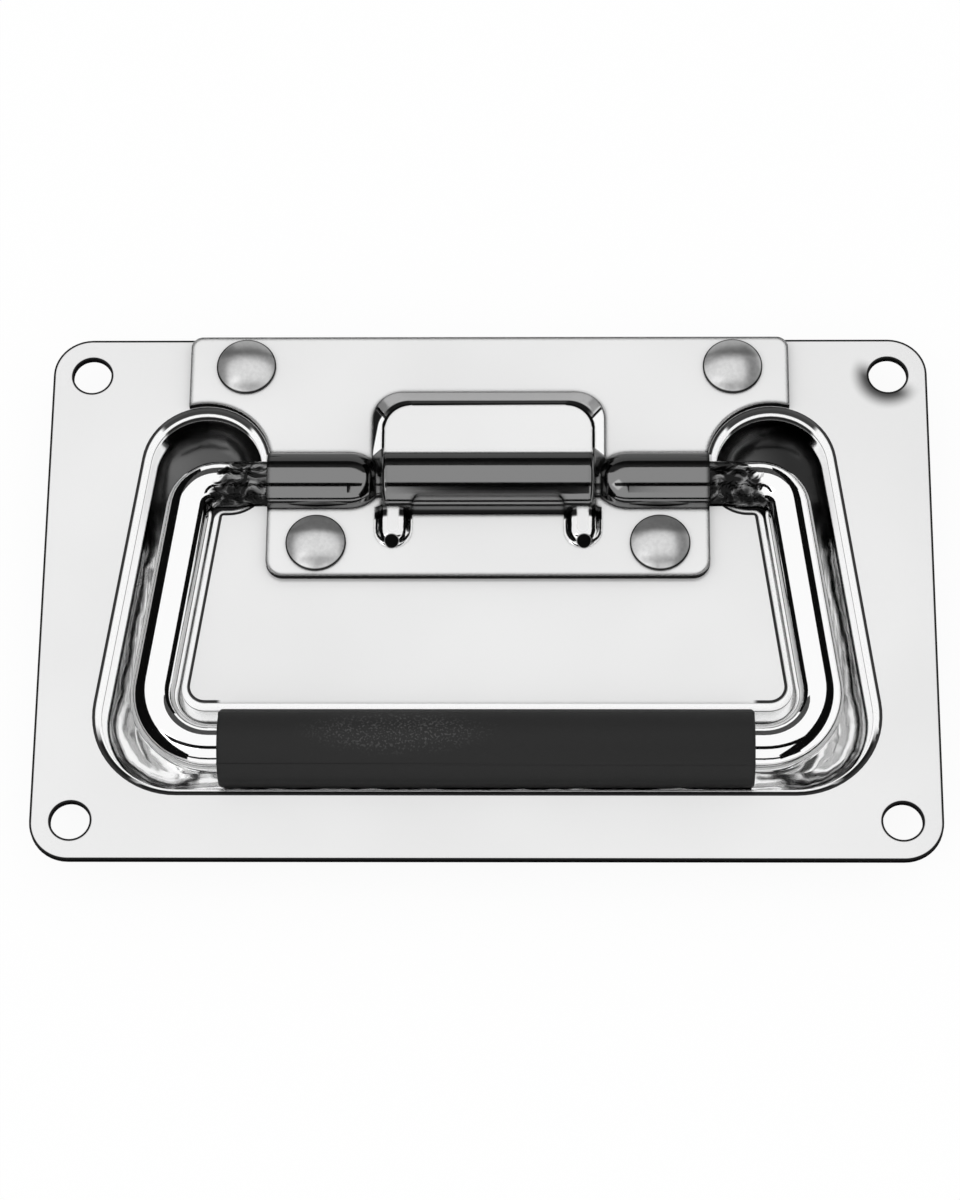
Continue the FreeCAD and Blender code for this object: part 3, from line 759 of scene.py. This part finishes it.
# The outline of a rivet, as radius and height from its tail to its crown, where the last ring
# stops half a step short of the axis and keeps its small flat face
dome = rivet_crown - rivet_rim
ball = (rivet_head ** 2 + dome ** 2) / (2 * dome)
rounds = [(rivet_shank, rivet_tail_depth), (rivet_shank, flange_top), (rivet_head, flange_top)]
rounds.append((rivet_head, flange_top + rivet_rim))
for step in range(1, dome_rings + 1):
    radius = rivet_head * math.cos(step / (dome_rings + 0.5) * math.pi / 2)
    rise = math.sqrt(ball ** 2 - radius ** 2) - (ball - dome)
    rounds.append((radius, flange_top + rivet_rim + rise))

for number, (x, y) in enumerate(rivet_places):
    bpy.ops.object.select_all(action="DESELECT")
    bpy.ops.mesh.primitive_circle_add(
        vertices=rivet_sides, radius=rivet_tail, fill_type="NGON", location=(x, y, 0)
    )
    rivet = bpy.context.object
    rivet.name = "rivet_" + str(number + 1)
    bpy.ops.object.mode_set(mode="EDIT")
    bpy.ops.mesh.select_all(action="SELECT")
    before = (rivet_tail, 0)
    for radius, height in rounds:
        lift = {"value": (0, 0, height - before[1])}
        bpy.ops.mesh.extrude_region_move(TRANSFORM_OT_translate=lift)
        share = radius / before[0]
        bpy.ops.transform.resize(value=(share, share, 1), center_override=(x, y, height))
        before = (radius, height)
    bpy.ops.mesh.select_all(action="SELECT")
    bpy.ops.mesh.normals_make_consistent(inside=False)
    bpy.ops.object.mode_set(mode="OBJECT")
    bpy.ops.object.shade_smooth_by_angle(angle=rivet_smooth)
    bpy.ops.object.transform_apply(location=True, rotation=True, scale=True)
    rivet.data.materials.append(rivet_steel)
    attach(rivet, "base")
    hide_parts("rivets")


# Grip: a black rubber tube, 13 mm outside on the 8 mm rod, moulded with rounded ends and a
# fine matt grain, and pushed on to the bar before the rod is bent.
grip_half_length = 0.0442
grip_radius = 0.0065
rod_radius = 0.004
bar_y = -0.02785
bar_z = 0.00085
grip_edge = 0.0006
grip_sides = 96
grip_edge_steps = 5
grip_smooth = math.radians(40)
end_facing = 0.9
same_place = 0.000001
end_slack = 0.00001
rim_slack = 0.0001
longest_side = 0.0006
rubber_black = 0.012
speck_grey = 0.05
rubber_sheen = 0.35
rubber_gloss = (0.62, 0.5)
pimple_size = 2600
pimple_detail = 2.0
pimple_height = 0.0001
pimple_share = 0.25
patch_middle = (-0.0145, -0.0270, 0.0070)
patch_stretch = (0.26, 1.0, 0.6)
patch_size = (0.0048, 0.0018)
pimple_span = (0.52, 0.66)

rubber, tree, face, place = start_material("grip_rubber", metal=0.0)
face.inputs["Specular IOR Level"].default_value = rubber_sheen
pimples = tree.nodes.new("ShaderNodeTexNoise")
pimples.inputs["Scale"].default_value = pimple_size
pimples.inputs["Detail"].default_value = pimple_detail
tree.links.new(place.outputs["Object"], pimples.inputs["Vector"])
# Lighter specks and a little more gloss in one oval patch on the grip's top, left of the
# middle
patch_offset = arrow(tree, "SUBTRACT", place.outputs["Object"], patch_middle)
patch_reach = arrow(tree, "LENGTH", arrow(tree, "MULTIPLY", patch_offset, patch_stretch))
speckled_top = ramp_between(tree, patch_reach, *patch_size)
speck = overlap(
    tree, speckled_top, ramp_between(tree, pimples.outputs["Fac"], *pimple_span)
)
colour = shade_mix(tree, speck, rubber_black, speck_grey)
tree.links.new(colour, face.inputs["Base Color"])
tree.links.new(slide(tree, speckled_top, *rubber_gloss), face.inputs["Roughness"])
bump = tree.nodes.new("ShaderNodeBump")
bump.inputs["Strength"].default_value = pimple_share
bump.inputs["Distance"].default_value = pimple_height
tree.links.new(pimples.outputs["Fac"], bump.inputs["Height"])
tree.links.new(bump.outputs[0], face.inputs["Normal"])

bpy.ops.object.select_all(action="DESELECT")
bpy.ops.mesh.primitive_cylinder_add(
    vertices=grip_sides,
    radius=grip_radius,
    depth=2 * grip_half_length,
    end_fill_type="NGON",
    location=(0, bar_y, bar_z),
    rotation=(0, math.pi / 2, 0),
)
grip = bpy.context.object
grip.name = "grip_tube"
bpy.ops.object.transform_apply(location=True, rotation=True, scale=True)
bpy.ops.object.mode_set(mode="EDIT")
bpy.ops.mesh.select_mode(type="FACE")
bpy.ops.mesh.select_all(action="DESELECT")
body = bmesh.from_edit_mesh(grip.data)
for polygon in body.faces:
    polygon.select_set(abs(polygon.normal.x) > end_facing)
bmesh.update_edit_mesh(grip.data)
bpy.ops.mesh.inset(thickness=grip_radius - rod_radius, use_individual=True)
bpy.ops.mesh.bridge_edge_loops()
bpy.ops.mesh.select_mode(type="EDGE")
bpy.ops.mesh.select_all(action="DESELECT")
body = bmesh.from_edit_mesh(grip.data)

# The ends' outer rims are rounded, but for the few sides at 45 degrees that pass longest_side
for line in body.edges:
    first, second = (corner.co for corner in line.verts)
    middle = (first + second) / 2
    away = math.hypot(middle.y - bar_y, middle.z - bar_z)
    across = abs(first.x - second.x) < same_place
    at_end = abs(abs(middle.x) - grip_half_length) < end_slack
    turned = abs(first.y - second.y) + abs(first.z - second.z)
    on_rim = away > grip_radius - rim_slack and turned < longest_side
    line.select_set(across and at_end and on_rim)
bmesh.update_edit_mesh(grip.data)
bpy.ops.mesh.bevel(offset=grip_edge, segments=grip_edge_steps, affect="EDGES")
bpy.ops.mesh.select_all(action="SELECT")
bpy.ops.mesh.remove_doubles(threshold=same_place)
bpy.ops.mesh.normals_make_consistent(inside=False)
bpy.ops.object.mode_set(mode="OBJECT")
bpy.ops.object.shade_smooth_by_angle(angle=grip_smooth)
grip.data.materials.append(rubber)
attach(grip, "handle")
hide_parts("grip_sleeve")
